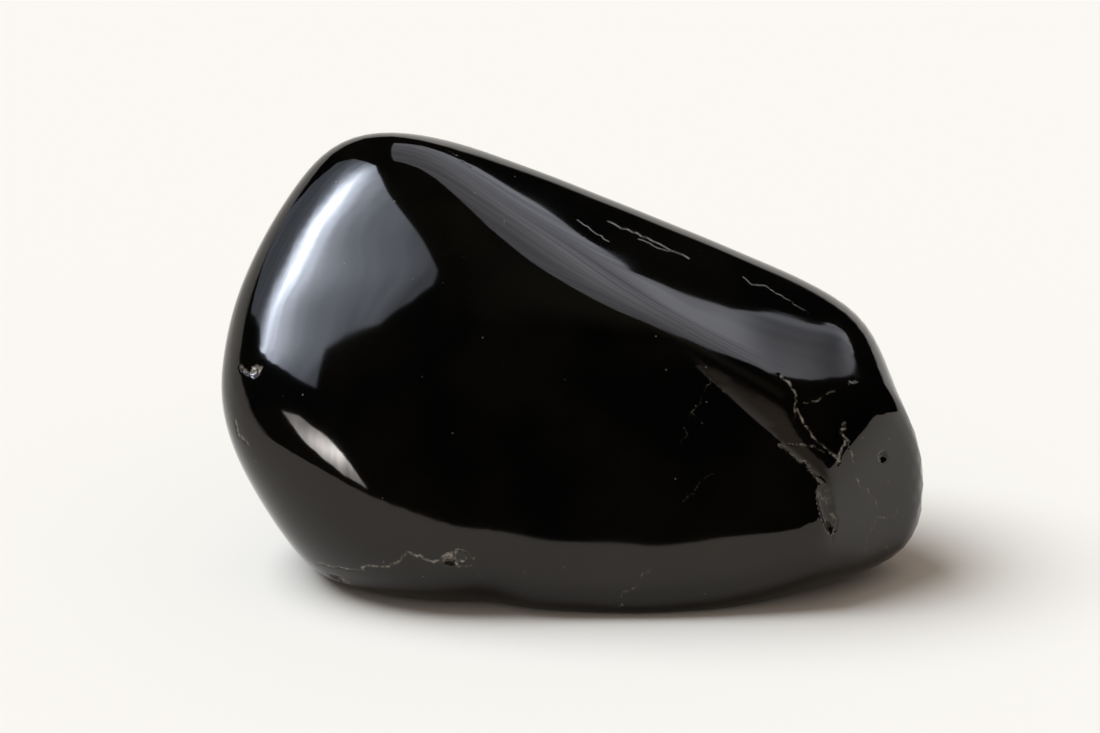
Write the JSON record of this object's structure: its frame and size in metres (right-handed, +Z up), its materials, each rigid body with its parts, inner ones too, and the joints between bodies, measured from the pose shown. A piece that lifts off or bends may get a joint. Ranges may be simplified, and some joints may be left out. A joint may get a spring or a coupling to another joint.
{
  "type": "polished obsidian stone",
  "caption": "Palm-size chunk of polished black obsidian, a leaning rounded boulder with a flat base to stand on, for display or as a paperweight.",
  "frame": {"origin": "middle of the bounding box, on the flat base that the stone stands on", "axes": "+X along the stone's length towards its low broken end, +Y away from the broad leaning front face, +Z up"},
  "size_m": [0.0796, 0.0398, 0.0491],
  "materials": {
    "obsidian": "polished to a glassy gloss"
  },
  "bodies": {
    "root": {"obsidian_stone": "obsidian"}
  },
  "joints": []
}
